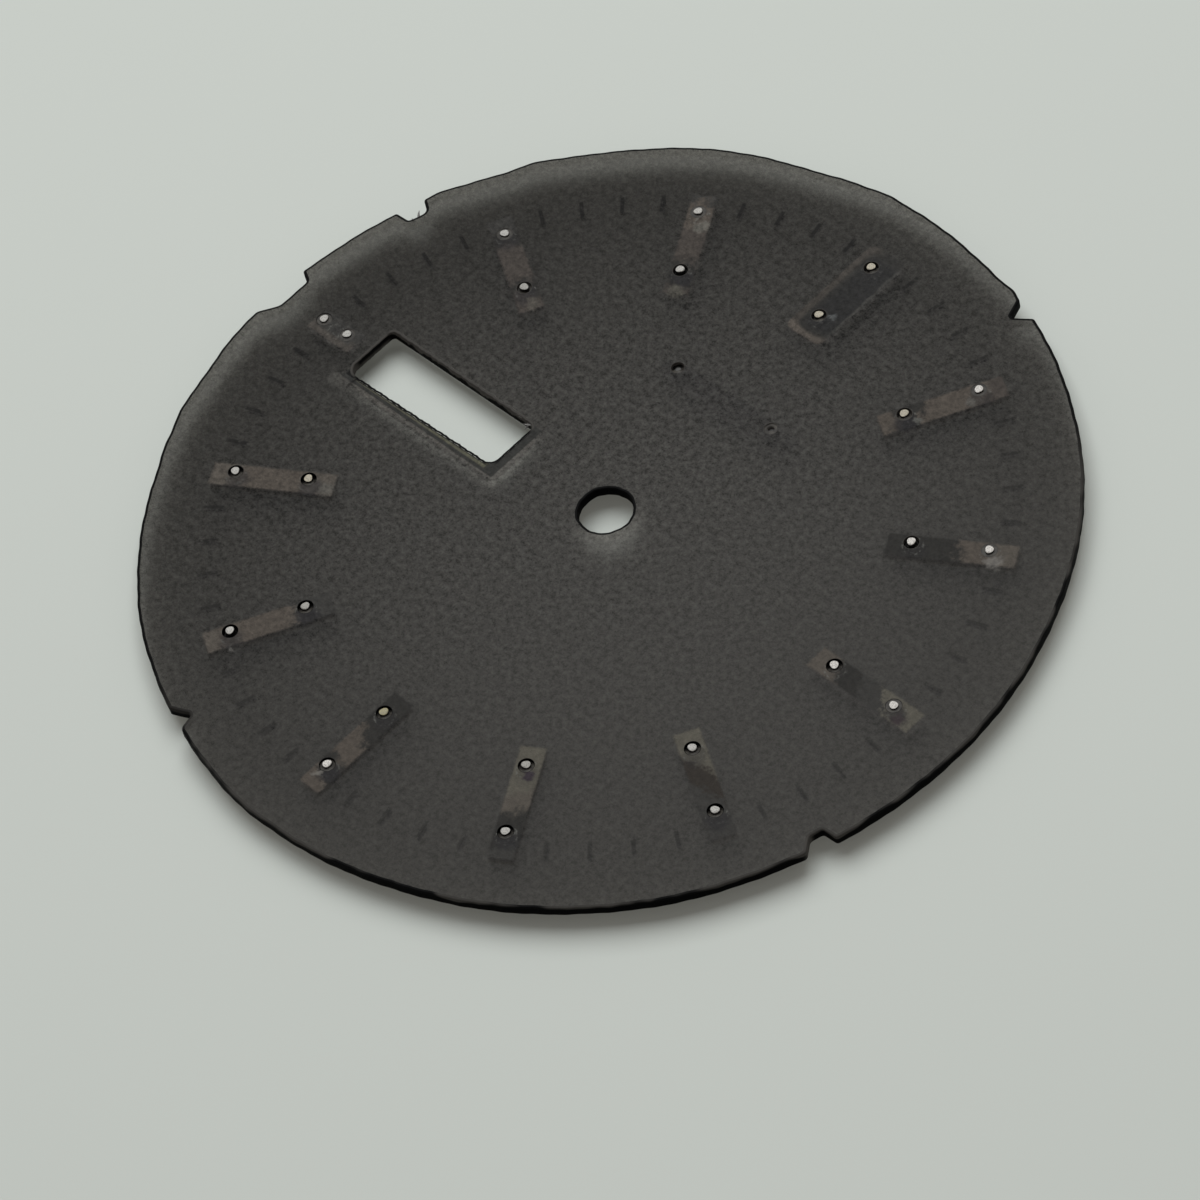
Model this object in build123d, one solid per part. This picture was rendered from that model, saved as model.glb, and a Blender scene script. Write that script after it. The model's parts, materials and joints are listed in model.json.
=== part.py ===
from build123d import *
import math
import os

# A watch dial seen from its back: a thin translucent plate that carries applied hour markers.
# Millimetres. +Z points out of the back, z = 0 is the back face and the bore axis is the Z axis.
# Twelve o'clock is at +Y. Seen from the back the hours run counter-clockwise, so three is at -X.

# Plate
dial_diameter = 29.0
plate_thickness = 0.36
rim_break = 0.03
hand_bore_diameter = 1.70
cut_overrun = 1.0

# Locating notches in the rim, at angles counter-clockwise from twelve o'clock
notch_angles = (70, 160, 250, 340)
notch_mouth_width = 0.95
notch_floor_width = 0.50
notch_depth = 0.52
notch_mouth_radius = 0.08
notch_floor_radius = 0.12

# Wide shallow recess in the rim behind three o'clock
recess_angle = 90
recess_mouth_width = 2.10
recess_floor_width = 1.10
recess_depth = 0.41
recess_mouth_radius = 0.25
recess_floor_radius = 0.30

# Day and date window, inside the short marker at three o'clock
window_length = 6.37
window_width = 2.00
window_corner_radius = 0.15
window_marker_gap = 0.605

# Frame round the window on the front face, bevelled down towards the opening
frame_border = 0.24
frame_height = 0.14
frame_lip_height = 0.02
frame_top_width = 0.07

# Hour markers
hour_count = 12
hour_step = 30
marker_rim_gap = 1.755
marker_length = 4.02
marker_width = 0.82
twelve_marker_width = 1.44
marker_height = 0.50
marker_bevel = 0.12
short_marker_rim_gap = 1.625
short_marker_length = 1.80

# Pegs behind the markers, through holes in the plate
peg_diameter = 0.28
peg_tip_round = 0.05
peg_proud = 0.09
peg_hole_diameter = 0.48
peg_end_inset = 0.815
short_peg_end_inset = 0.375

# Adhesive in the peg holes: most holes are filled part way, some up to the back face
adhesive_low_recess = 0.16
adhesive_full_recess = 0.02
fully_filled_outer_hours = (1, 2, 3, 6, 9, 10)
fully_filled_inner_hours = (3,)

# Luminous filling in a groove along each marker
groove_width = 0.30
groove_depth = 0.14
groove_end_wall = 0.35
filling_recess = 0.02
twelve_groove_pitch = 0.60

# Plain applied bar below twelve o'clock
badge_marker_gap = 3.355
badge_length = 5.60
badge_width = 0.80
badge_height = 0.30
badge_bevel = 0.08
badge_peg_diameter = 0.24
badge_peg_recess = 0.10
badge_hole_diameter = 0.42
badge_peg_places = (-2.10, 1.88)

# Printed minute track
minute_step = 6
minute_mark_rim_gap = 1.85
minute_mark_length = 0.62
minute_mark_width = 0.12
print_thickness = 0.02

# What follows from the sizes above
dial_radius = dial_diameter / 2
front_face = -plate_thickness
marker_face = front_face - marker_height
marker_outer_end = dial_radius - marker_rim_gap
marker_inner_end = marker_outer_end - marker_length
short_marker_outer_end = dial_radius - short_marker_rim_gap
short_marker_inner_end = short_marker_outer_end - short_marker_length
window_centre_radius = short_marker_inner_end - window_marker_gap - window_length / 2
badge_centre_radius = marker_inner_end - badge_marker_gap
minute_mark_centre_radius = dial_radius - minute_mark_rim_gap - minute_mark_length / 2
hours = range(1, hour_count + 1)


def at_clock_angle(shape, angle):
    """Turn a shape built at twelve o'clock to an angle counter-clockwise from there."""
    return Rot(0, 0, angle) * shape


def slab(outline, low, high):
    """Raise a flat outline into a solid between two heights."""
    return extrude(Pos(0, 0, low) * outline, high - low)


def pin(x, y, diameter, low, high):
    """Upright round pin between two heights."""
    return slab(Pos(x, y) * Circle(diameter / 2), low, high)


def rim_cut(mouth_width, floor_width, depth, floor_radius):
    """Outline of a cut into the rim at twelve o'clock, wider at its mouth than at its floor."""
    floor_y = dial_radius - depth
    mouth_y = math.sqrt(dial_radius**2 - (mouth_width / 2) ** 2)
    outline = Polygon(
        (-floor_width / 2, floor_y),
        (floor_width / 2, floor_y),
        (mouth_width / 2, mouth_y),
        (mouth_width / 2, dial_radius + cut_overrun),
        (-mouth_width / 2, dial_radius + cut_overrun),
        (-mouth_width / 2, mouth_y),
        align=None,
    )
    return fillet(outline.vertices().group_by(Axis.Y)[0], floor_radius)


def cut_rim(outline, angle, mouth_width, floor_width, depth, floor_radius, mouth_radius):
    """Cut the rim outline at an angle and round the two corners of the mouth."""
    turned = at_clock_angle(outline, -angle) - rim_cut(mouth_width, floor_width, depth, floor_radius)
    corners = [
        corner
        for corner in turned.vertices()
        if corner.Y > dial_radius - depth and abs(abs(corner.X) * 2 - mouth_width) < mouth_radius / 2
    ]
    return at_clock_angle(fillet(corners, mouth_radius), angle)


def window_outline(border):
    """Window outline, grown on every side by a border."""
    outline = Rectangle(window_length + 2 * border, window_width + 2 * border)
    rounded = fillet(outline.vertices(), window_corner_radius + border)
    return Pos(-window_centre_radius, 0) * rounded


def marker_span(hour):
    """Distances of a marker's inner and outer end from the bore axis."""
    if hour == 3:
        return short_marker_inner_end, short_marker_outer_end
    return marker_inner_end, marker_outer_end


def marker_pegs(hour):
    """Distances of a marker's two pegs from the bore axis."""
    inner_end, outer_end = marker_span(hour)
    inset = short_peg_end_inset if hour == 3 else peg_end_inset
    return inner_end + inset, outer_end - inset


def marker_grooves(hour):
    """Groove outlines of a marker built at twelve o'clock: one, or two side by side at twelve."""
    inner_end, outer_end = marker_span(hour)
    groove = Pos(0, (inner_end + outer_end) / 2) * Rectangle(
        groove_width, outer_end - inner_end - 2 * groove_end_wall
    )
    if hour == 12:
        return [Pos(side * twelve_groove_pitch / 2, 0) * groove for side in (-1, 1)]
    return [groove]


def peg(x, y, diameter, tip):
    """Round peg from the front face up to its rounded tip."""
    shank = pin(x, y, diameter, front_face, tip)
    return fillet(shank.edges().group_by(Axis.Z)[-1], peg_tip_round)


def make_dial_plate():
    """Plate with its rim cuts, window, hand bore and peg holes."""
    outline = Circle(dial_radius)
    for angle in notch_angles:
        outline = cut_rim(
            outline, angle, notch_mouth_width, notch_floor_width,
            notch_depth, notch_floor_radius, notch_mouth_radius,
        )
    outline = cut_rim(
        outline, recess_angle, recess_mouth_width, recess_floor_width,
        recess_depth, recess_floor_radius, recess_mouth_radius,
    )
    plate = slab(outline, front_face, 0)
    plate = chamfer(plate.edges().group_by(Axis.Z)[-1], rim_break)
    plate -= slab(window_outline(0), front_face - cut_overrun, cut_overrun)
    plate -= pin(0, 0, hand_bore_diameter, front_face - cut_overrun, cut_overrun)
    for hour in hours:
        for distance in marker_pegs(hour):
            hole = pin(0, distance, peg_hole_diameter, front_face - cut_overrun, cut_overrun)
            plate -= at_clock_angle(hole, hour * hour_step)
    for place in badge_peg_places:
        plate -= pin(
            place, badge_centre_radius, badge_hole_diameter, front_face - cut_overrun, cut_overrun
        )
    return plate


def make_marker(hour):
    """Bevelled marker with its grooves and its two pegs."""
    inner_end, outer_end = marker_span(hour)
    width = twelve_marker_width if hour == 12 else marker_width
    body = slab(
        Pos(0, (inner_end + outer_end) / 2) * Rectangle(width, outer_end - inner_end),
        marker_face, front_face,
    )
    body = chamfer(body.edges().group_by(Axis.Z)[0], marker_bevel)
    for groove in marker_grooves(hour):
        body -= slab(groove, marker_face - cut_overrun, marker_face + groove_depth)
    for distance in marker_pegs(hour):
        body += peg(0, distance, peg_diameter, peg_proud)
    return at_clock_angle(body, hour * hour_step)


def make_filling(hour):
    """Luminous filling that sits in a marker's grooves, just below its face."""
    fillings = [
        slab(groove, marker_face + filling_recess, marker_face + groove_depth)
        for groove in marker_grooves(hour)
    ]
    return [at_clock_angle(filling, hour * hour_step) for filling in fillings]


def make_window_frame():
    """Frame on the front face whose bevel slopes down to the window's edge."""
    frame_face = front_face - frame_height
    outer = slab(window_outline(frame_border), frame_face, front_face)
    opening = slab(window_outline(0), frame_face - cut_overrun, front_face + cut_overrun)
    funnel = loft([
        Pos(0, 0, frame_face) * window_outline(frame_border - frame_top_width),
        Pos(0, 0, front_face - frame_lip_height) * window_outline(0),
    ])
    return outer - opening - funnel


def make_badge():
    """Plain bar with round ends, a bevel and two pegs that stop inside their holes."""
    badge_face = front_face - badge_height
    bar = slab(Pos(0, badge_centre_radius) * SlotOverall(badge_length, badge_width), badge_face, front_face)
    bar = chamfer(bar.edges().group_by(Axis.Z)[0], badge_bevel)
    for place in badge_peg_places:
        bar += peg(place, badge_centre_radius, badge_peg_diameter, -badge_peg_recess)
    return bar


def make_minute_track():
    """Printed marks on the front face, one for each minute that has no hour marker."""
    mark = slab(
        Pos(0, minute_mark_centre_radius) * Rectangle(minute_mark_width, minute_mark_length),
        front_face - print_thickness, front_face,
    )
    angles = [angle for angle in range(0, 360, minute_step) if angle % hour_step]
    return [at_clock_angle(mark, angle) for angle in angles]


def adhesive_ring(x, y, peg_width, hole_width, recess):
    """Ring of adhesive between a peg and its hole."""
    ring = Circle(hole_width / 2) - Circle(peg_width / 2)
    return slab(Pos(x, y) * ring, front_face, -recess)


def make_peg_adhesive():
    """All adhesive rings, as separate solids."""
    rings = []
    for hour in hours:
        filled_hours = (fully_filled_inner_hours, fully_filled_outer_hours)
        for distance, filled in zip(marker_pegs(hour), filled_hours):
            recess = adhesive_full_recess if hour in filled else adhesive_low_recess
            ring = adhesive_ring(0, distance, peg_diameter, peg_hole_diameter, recess)
            rings.append(at_clock_angle(ring, hour * hour_step))
    for place in badge_peg_places:
        rings.append(
            adhesive_ring(
                place, badge_centre_radius, badge_peg_diameter, badge_hole_diameter, adhesive_low_recess
            )
        )
    return rings


def write(name, shapes):
    """Write one node's solids to its own file."""
    solids = [solid for shape in shapes for solid in shape.solids()]
    node = Compound(label=name, children=solids) if len(solids) > 1 else solids[0]
    export_step(node, f"parts/{name}.step")


os.makedirs("parts", exist_ok=True)
write("dial_plate", [make_dial_plate()])
for hour in hours:
    write(f"hour_marker_{hour:02d}", [make_marker(hour)])
    write(f"luminous_filling_{hour:02d}", make_filling(hour))
write("window_frame", [make_window_frame()])
write("badge_bar", [make_badge()])
write("minute_track", make_minute_track())
write("peg_adhesive", make_peg_adhesive())
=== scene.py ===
"""Watch dial lying on its front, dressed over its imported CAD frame.

Sizes are in millimetres until a mesh is written. +Z points out of the back, the back face is at z = 0
and the bore axis is the Z axis. Twelve o'clock is at +Y and, seen from the back, the hours run
counter-clockwise, so three o'clock is at -X. A clock angle is counted the same way from twelve.
"""

import json
import logging
import math
from dataclasses import dataclass
from enum import Enum
from typing import Callable, Sequence, Union

import bpy
import numpy as np
from mathutils import Matrix, Vector
from mathutils.geometry import delaunay_2d_cdt

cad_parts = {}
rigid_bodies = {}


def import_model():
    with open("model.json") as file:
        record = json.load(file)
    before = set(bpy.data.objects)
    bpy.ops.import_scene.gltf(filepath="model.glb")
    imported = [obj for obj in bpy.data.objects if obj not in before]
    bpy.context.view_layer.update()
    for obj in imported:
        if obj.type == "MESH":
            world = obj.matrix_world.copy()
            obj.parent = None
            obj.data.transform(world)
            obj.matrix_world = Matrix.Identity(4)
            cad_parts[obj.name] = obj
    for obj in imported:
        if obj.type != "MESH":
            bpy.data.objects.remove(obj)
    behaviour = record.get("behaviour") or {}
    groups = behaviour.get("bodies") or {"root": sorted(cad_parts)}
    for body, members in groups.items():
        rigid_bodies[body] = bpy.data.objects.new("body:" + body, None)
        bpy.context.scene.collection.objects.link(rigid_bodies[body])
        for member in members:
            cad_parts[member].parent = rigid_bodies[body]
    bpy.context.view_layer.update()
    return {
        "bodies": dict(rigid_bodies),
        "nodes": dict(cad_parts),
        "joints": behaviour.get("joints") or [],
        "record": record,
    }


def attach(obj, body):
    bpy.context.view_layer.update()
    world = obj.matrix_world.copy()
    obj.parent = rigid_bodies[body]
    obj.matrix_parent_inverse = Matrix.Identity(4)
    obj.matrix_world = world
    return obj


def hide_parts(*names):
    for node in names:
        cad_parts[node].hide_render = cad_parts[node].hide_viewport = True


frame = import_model()

LOG = logging.getLogger("watch_dial")
MM = 0.001
HOURS = range(1, 13)
HOUR_STEP = 30
MINUTE_STEP = 6
FRONT = -0.36
FLOOR = -0.861
# Inner and outer ends of a marker and its pegs' distances from the bore axis, the short one's at three.
MARKER_ENDS = (8.725, 12.745)
SHORT_ENDS = (11.075, 12.875)
MARKER_WIDTH = 0.82
DOUBLE_WIDTH = 1.44
PEG_REACH = (9.54, 11.93)
SHORT_PEG_REACH = (11.45, 12.5)
PEG_RADIUS = 0.14
BADGE_Y = 5.37
BADGE_PEGS = (-2.10, 1.88)
BADGE_PEG_RADIUS = 0.12
# Length of rim that each side of a cut's outline takes in.
RUN_IN = 0.4
# The side of the dial where it is lowest in the photograph.
NEAR_SIDE = (0.84, -0.54, 0.0)
Pair = tuple[float, float]
Triple = tuple[float, float, float]
Quad = tuple[float, float, float, float]
Colour = Quad
Material = bpy.types.Material
Node = bpy.types.Node
Piece = bpy.types.Object
Socket = bpy.types.NodeSocket
Value = Union["Field", float, Sequence[float]]
Inputs = dict[Union[str, int], Value]


def shade(red: float, green: float, blue: float) -> Colour:
    """Linear colour of a 0-255 screen colour, by the sRGB curve ((c + 0.055) / 1.055) ** 2.4."""
    screen = np.array([red, green, blue]) / 255
    linear = np.where(screen < 0.04045, screen / 12.92, ((screen + 0.055) / 1.055) ** 2.4)
    return (*linear.tolist(), 1.0)


def even(level: float) -> Colour:
    """Neutral linear colour of a level."""
    return (level, level, level, 1.0)


def clock_turn(points: np.ndarray, angle: float) -> np.ndarray:
    """Turn (right, outward) pairs drawn at twelve by a degrees: (x cos a - y sin a, x sin a + y cos a)."""
    turn = math.radians(angle)
    c, s = math.cos(turn), math.sin(turn)
    return points @ np.array([[c, s], [-s, c]])


def circle(centre: Sequence[float], radius: float, count: int) -> np.ndarray:
    """Counter-clockwise circle: centre + radius (cos t, sin t) for count even steps of t."""
    t = np.arange(count) * (2 * math.pi / count)
    return np.asarray(centre) + radius * np.stack([np.cos(t), np.sin(t)], 1)


def rounded(
    corners: Sequence[Sequence[float]], radii: Sequence[float], closed: bool, steps: int = 7,
) -> np.ndarray:
    """Path through corners, each replaced by an arc.

    With unit vectors a and b from a corner P to its neighbours and h half the angle between them, the
    arc's centre is P + (a + b) / |a + b| * r / sin h, it starts at P + a * r / tan h, ends at
    P + b * r / tan h, and turns evenly from the one to the other about that centre.

    Args:
        corners: Corner points in order.
        radii: One radius for each corner; the two ends of an open path take none.
        closed: Whether the last corner joins the first.
        steps: Points on each arc.

    Returns:
        Points of the path.
    """
    corner = np.asarray(corners, float)
    back = np.roll(corner, 1, 0) - corner
    ahead = np.roll(corner, -1, 0) - corner
    inner = slice(None) if closed else slice(1, -1)
    back, ahead, centre = back[inner], ahead[inner], corner[inner]
    back /= np.linalg.norm(back, axis=1, keepdims=True)
    ahead /= np.linalg.norm(ahead, axis=1, keepdims=True)
    half = np.arccos(np.clip((back * ahead).sum(1), -1, 1)) / 2
    radius = np.asarray(radii, float)
    bisector = (back + ahead) / np.linalg.norm(back + ahead, axis=1, keepdims=True)
    touch = (radius / np.tan(half))[:, None]
    middle = centre + bisector * (radius / np.sin(half))[:, None]
    start = centre + back * touch - middle
    end = centre + ahead * touch - middle
    sweep = (math.pi - 2 * half)[:, None, None]
    u = np.linspace(0, 1, steps)[None, :, None]
    arc = (np.sin((1 - u) * sweep) * start[:, None] + np.sin(u * sweep) * end[:, None]) / np.sin(sweep)
    points = (arc + middle[:, None]).reshape(-1, 2)
    return points if closed else np.concatenate([corner[:1], points, corner[-1:]])


def split_sides(outline: np.ndarray, longest: float) -> np.ndarray:
    """Cut each side of a closed outline into equal pieces no longer than the longest allowed."""
    side = np.roll(outline, -1, 0) - outline
    count = np.maximum(1, np.ceil(np.linalg.norm(side, axis=1) / longest)).astype(int)
    place = np.arange(count.sum()) - np.repeat(np.cumsum(count) - count, count)
    fraction = (place / np.repeat(count, count))[:, None]
    return np.repeat(outline, count, 0) + fraction * np.repeat(side, count, 0)


def swept_rings(outline: np.ndarray, profile: np.ndarray) -> np.ndarray:
    """Carry a profile along a counter-clockwise outline.

    Ring k is the outline moved by profile[k, 0] along its outward normal, the tangent turned by -90
    degrees, and lifted to the height profile[k, 1].

    Args:
        outline: Closed outline, shape (n, 2).
        profile: Pairs of (growth, height), shape (rows, 2).

    Returns:
        Rings of shape (rows, n, 3).
    """
    tangent = np.roll(outline, -1, 0) - np.roll(outline, 1, 0)
    normal = np.stack([tangent[:, 1], -tangent[:, 0]], 1)
    normal /= np.linalg.norm(normal, axis=1, keepdims=True)
    flat = outline[None] + profile[:, :1, None] * normal[None]
    height = np.broadcast_to(profile[:, 1, None, None], (*flat.shape[:2], 1))
    return np.concatenate([flat, height], 2)


def turned_rings(place: Sequence[float], profile: np.ndarray, count: int) -> np.ndarray:
    """Turn a profile of (radius, height) pairs round a place, as clockwise rings of count points."""
    point = 1e-9
    return swept_rings(circle(place, point, count), profile)[:, ::-1]


def drawn_rings(outline: Callable[[float], np.ndarray], profile: np.ndarray) -> np.ndarray:
    """Draw an outline anew, grown and lifted, for each row of a profile, so that its corners stay mitred."""
    flat = np.stack([outline(growth) for growth in profile[:, 0]])
    height = np.broadcast_to(profile[:, 1, None, None], (*flat.shape[:2], 1))
    return np.concatenate([flat, height], 2)


class Shell:
    """One closed mesh, put together from walls of stacked rings and flat caps."""

    def __init__(self) -> None:
        """Start with no points and no faces."""
        self.points = np.zeros((0, 3))
        self.corners: list[np.ndarray] = []
        self.sizes: list[np.ndarray] = []
        self.slots: list[np.ndarray] = []

    def add_faces(self, faces: np.ndarray, slots: Union[int, np.ndarray] = 0) -> None:
        """Keep faces that all have the same number of corners, with their material slots."""
        self.corners.append(faces.ravel())
        self.sizes.append(np.full(len(faces), faces.shape[1]))
        self.slots.append(np.broadcast_to(slots, len(faces)))

    def wall(self, rings: np.ndarray, slots: Sequence[int] = (0,)) -> np.ndarray:
        """Join neighbouring rings by quads (k, i), (k + 1, i), (k + 1, i + 1), (k, i + 1).

        Args:
            rings: Rings of shape (rows, n, 3). A wall that runs down has counter-clockwise rings where it
                is an outside and clockwise ones where it is a hole's.
            slots: Material slot of each row of faces, or one for all.

        Returns:
            Point numbers of shape (rows, n).
        """
        rows, count = rings.shape[:2]
        index = len(self.points) + np.arange(rows * count).reshape(rows, count)
        self.points = np.concatenate([self.points, rings.reshape(-1, 3)])
        beside = np.roll(index, -1, 1)
        faces = np.stack([index[:-1], index[1:], beside[1:], beside[:-1]], -1).reshape(-1, 4)
        self.add_faces(faces, np.repeat(np.broadcast_to(slots, rows - 1), count))
        return index

    def cap(self, rings: Sequence[np.ndarray], up: bool, slot: int = 0) -> None:
        """Fill the flat area inside the first ring and outside the others with Delaunay triangles.

        Args:
            rings: Point numbers of each ring, the outside one first.
            up: Whether the cap faces +Z.
            slot: Material slot.
        """
        index = np.concatenate(rings)
        flat = self.points[index, :2]
        owner = np.repeat(np.arange(len(rings)), [len(ring) for ring in rings])
        edges = np.concatenate([
            start + np.stack([np.arange(len(ring)), (np.arange(len(ring)) + 1) % len(ring)], 1)
            for start, ring in zip(np.cumsum([0, *map(len, rings[:-1])]), rings)
        ])
        made = delaunay_2d_cdt(flat.tolist(), edges.tolist(), [], 1, 1e-6)
        first_of = np.array([old[0] for old in made[3]])
        corner = first_of[np.array(made[2])]
        whose = owner[corner]
        in_hole = (whose == whose[:, :1]).all(1) & (whose[:, 0] > 0)
        corner = corner[~in_hole]
        ab = flat[corner[:, 1]] - flat[corner[:, 0]]
        ac = flat[corner[:, 2]] - flat[corner[:, 0]]
        turned = (ab[:, 0] * ac[:, 1] - ab[:, 1] * ac[:, 0] > 0) != up
        corner[turned] = corner[turned, ::-1]
        self.add_faces(index[corner], slot)

    def build(self, name: str, **layers: np.ndarray) -> Piece:
        """Write the mesh in metres, smooth, with named point attributes.

        Args:
            name: Name of the new object.
            **layers: Arrays of shape (points,) or (points, 3).

        Returns:
            The new object, linked to the scene.
        """
        corners = np.concatenate(self.corners).astype(np.int32)
        sizes = np.concatenate(self.sizes)
        mesh = bpy.data.meshes.new(name)
        mesh.vertices.add(len(self.points))
        mesh.vertices.foreach_set("co", (self.points * MM).astype(np.float32).ravel())
        mesh.loops.add(len(corners))
        mesh.loops.foreach_set("vertex_index", corners)
        mesh.polygons.add(len(sizes))
        mesh.polygons.foreach_set("loop_start", (np.cumsum(sizes) - sizes).astype(np.int32))
        mesh.polygons.foreach_set("material_index", np.concatenate(self.slots).astype(np.int32))
        mesh.polygons.foreach_set("use_smooth", np.ones(len(sizes), bool))
        mesh.update(calc_edges=True)
        mesh.validate()
        for key, values in layers.items():
            vector = values.ndim == 2
            layer = mesh.attributes.new(key, "FLOAT_VECTOR" if vector else "FLOAT", "POINT")
            layer.data.foreach_set("vector" if vector else "value", values.astype(np.float32).ravel())
        piece = bpy.data.objects.new(name, mesh)
        bpy.context.scene.collection.objects.link(piece)
        return piece


@dataclass(frozen=True)
class Field:
    """A number, place or colour that varies over a surface: one output of a node."""

    bench: "NodeBench"
    socket: Socket

    def maths(self, operation: str, *others: Value) -> "Field":
        """One step of arithmetic."""
        return self.bench.out("Math", dict(enumerate((self, *others))), operation=operation)

    def vectors(self, operation: str, *others: Value, output: int = 0) -> "Field":
        """One step of vector arithmetic, which gives a vector at output 0 or a number at output 1."""
        return self.bench.out("VectorMath", dict(enumerate((self, *others))), output, operation=operation)

    def __add__(self, other: Value) -> "Field":
        """Sum of two numbers."""
        return self.maths("ADD", other)

    def __sub__(self, other: Value) -> "Field":
        """Difference of two numbers."""
        return self.maths("SUBTRACT", other)

    def __rsub__(self, number: float) -> "Field":
        """Difference of a plain number and this one."""
        return self * -1.0 + number

    def __mul__(self, other: Value) -> "Field":
        """Product of two numbers."""
        return self.maths("MULTIPLY", other)

    def __abs__(self) -> "Field":
        """Number without its sign."""
        return self.maths("ABSOLUTE")

    def least(self, other: Value) -> "Field":
        """Smaller of two numbers."""
        return self.maths("MINIMUM", other)

    def most(self, other: Value) -> "Field":
        """Larger of two numbers."""
        return self.maths("MAXIMUM", other)

    def equals(self, number: int) -> "Field":
        """1 where this is that whole number, otherwise 0."""
        return self.maths("COMPARE", float(number), 0.5)

    def step(self, low: float, high: float) -> "Field":
        """Smooth rise from 0 at low to 1 at high."""
        inputs = {"Value": self, "From Min": low, "From Max": high}
        return self.bench.out("MapRange", inputs, interpolation_type="SMOOTHSTEP")

    def band(self, rise: float, full: float, still: float, gone: float) -> "Field":
        """Smooth rise from 0 at rise to 1 at full, then a fall from 1 at still to 0 at gone."""
        return self.step(rise, full) * self.step(gone, still)

    def lerp(self, start: float, end: float, low: float = 0.0, high: float = 1.0) -> "Field":
        """Straight run from start at low to end at high, and level beyond them."""
        inputs = {"Value": self, "From Min": low, "From Max": high, "To Min": start, "To Max": end}
        return self.bench.out("MapRange", inputs)

    def blend(self, first: Value, second: Value) -> "Field":
        """Colour between two, the first at 0 and the second at 1."""
        return self.bench.out("Mix", {0: self, 6: first, 7: second}, 2, data_type="RGBA")

    def tinted(self, tint: Value) -> "Field":
        """Colour multiplied by another."""
        inputs = {0: 1.0, 6: self, 7: tint}
        return self.bench.out("Mix", inputs, 2, data_type="RGBA", blend_type="MULTIPLY")

    def grey(self) -> "Field":
        """Neutral colour of this level."""
        return self.bench.out("CombineColor", {0: self, 1: self, 2: self})

    def parts(self) -> tuple["Field", ...]:
        """The three parts of a place."""
        node = self.bench.add("SeparateXYZ", {0: self})
        return tuple(Field(self.bench, socket) for socket in node.outputs)

    def length(self) -> "Field":
        """Distance of a place from the origin."""
        return self.vectors("LENGTH", output=1)

    def distance(self, place: Value) -> "Field":
        """Distance of two places."""
        return self.vectors("DISTANCE", place, output=1)

    def dot(self, other: Value) -> "Field":
        """Dot product of two vectors."""
        return self.vectors("DOT_PRODUCT", other, output=1)

    def stretched(self, *factors: float) -> "Field":
        """Place whose three parts are multiplied by factors of their own."""
        return self.vectors("MULTIPLY", factors)

    def noise(self, scale: float, detail: float = 2, roughness: float = 0.5) -> "Field":
        """Fractal noise between 0 and 1, with scale lumps to the millimetre."""
        inputs = {"Vector": self, "Scale": scale, "Detail": detail, "Roughness": roughness}
        return self.bench.out("TexNoise", inputs)

    def cells(self, scale: float) -> "Field":
        """Distance to the nearest of scattered points."""
        return self.bench.out("TexVoronoi", {"Vector": self, "Scale": scale})

    def ramp(self, stops: Sequence[tuple[float, Colour]], sharp: bool = False) -> "Field":
        """Colours along a scale from 0 to 1.

        Args:
            stops: Pairs of place and colour in rising order.
            sharp: Whether each colour holds until the next stop.

        Returns:
            The colour.
        """
        node = self.bench.add("ValToRGB", {0: self})
        band = node.color_ramp
        band.interpolation = "CONSTANT" if sharp else "LINEAR"
        for number, (place, colour) in enumerate(stops):
            stop = band.elements[number] if number < 2 else band.elements.new(place)
            stop.position = place
            stop.color = colour
        return Field(self.bench, node.outputs[0])

    def bump(self, depth: float, strength: float = 1.0) -> "Field":
        """Bump normal of this height between 0 and 1, which spans depth millimetres."""
        return self.bench.out("Bump", {"Height": self, "Distance": depth * MM, "Strength": strength})


class NodeBench:
    """Workbench for one material."""

    def __init__(self, name: str) -> None:
        """Start an empty material of that name."""
        self.material = bpy.data.materials.new(name)
        self.material.use_nodes = True
        self.tree = self.material.node_tree
        self.tree.nodes.clear()

    def add(self, kind: str, inputs: Inputs, **settings: object) -> Node:
        """Add a shader node.

        Args:
            kind: Node type without its ShaderNode prefix.
            inputs: Value or link for each named or numbered input.
            **settings: Properties of the node itself.

        Returns:
            The node.
        """
        node = self.tree.nodes.new("ShaderNode" + kind)
        for key, setting in settings.items():
            setattr(node, key, setting)
        for key, value in inputs.items():
            if isinstance(value, Field):
                self.tree.links.new(value.socket, node.inputs[key])
            else:
                node.inputs[key].default_value = value
        return node

    def out(self, kind: str, inputs: Inputs, output: Union[str, int] = 0, **settings: object) -> Field:
        """Add a node and take one of its outputs."""
        return Field(self, self.add(kind, inputs, **settings).outputs[output])

    def place(self) -> Field:
        """Object coordinates in millimetres."""
        where = self.out("TexCoord", {}, "Object")
        return self.out("VectorMath", {0: where, "Scale": 1 / MM}, operation="SCALE")

    def layer(self, name: str, output: str) -> Field:
        """A mesh attribute."""
        return self.out("Attribute", {}, output, attribute_name=name)

    def behind(self) -> Field:
        """1 where the surface is seen from inside."""
        return self.out("NewGeometry", {}, "Backfacing")

    def plain(self, **inputs: Value) -> Node:
        """Plain surface shader, each space in its inputs' names written as _."""
        return self.add("BsdfPrincipled", {key.replace("_", " "): value for key, value in inputs.items()})

    def mix(self, factor: Value, first: Node, second: Node) -> Node:
        """Mix two shaders."""
        shaders = [Field(self, shader.outputs[0]) for shader in (first, second)]
        return self.add("MixShader", {0: factor, 1: shaders[0], 2: shaders[1]})

    def finish(self, shader: Node) -> Material:
        """Join the shader to the output and hand over the material."""
        self.add("OutputMaterial", {"Surface": Field(self, shader.outputs[0])})
        return self.material


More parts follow.
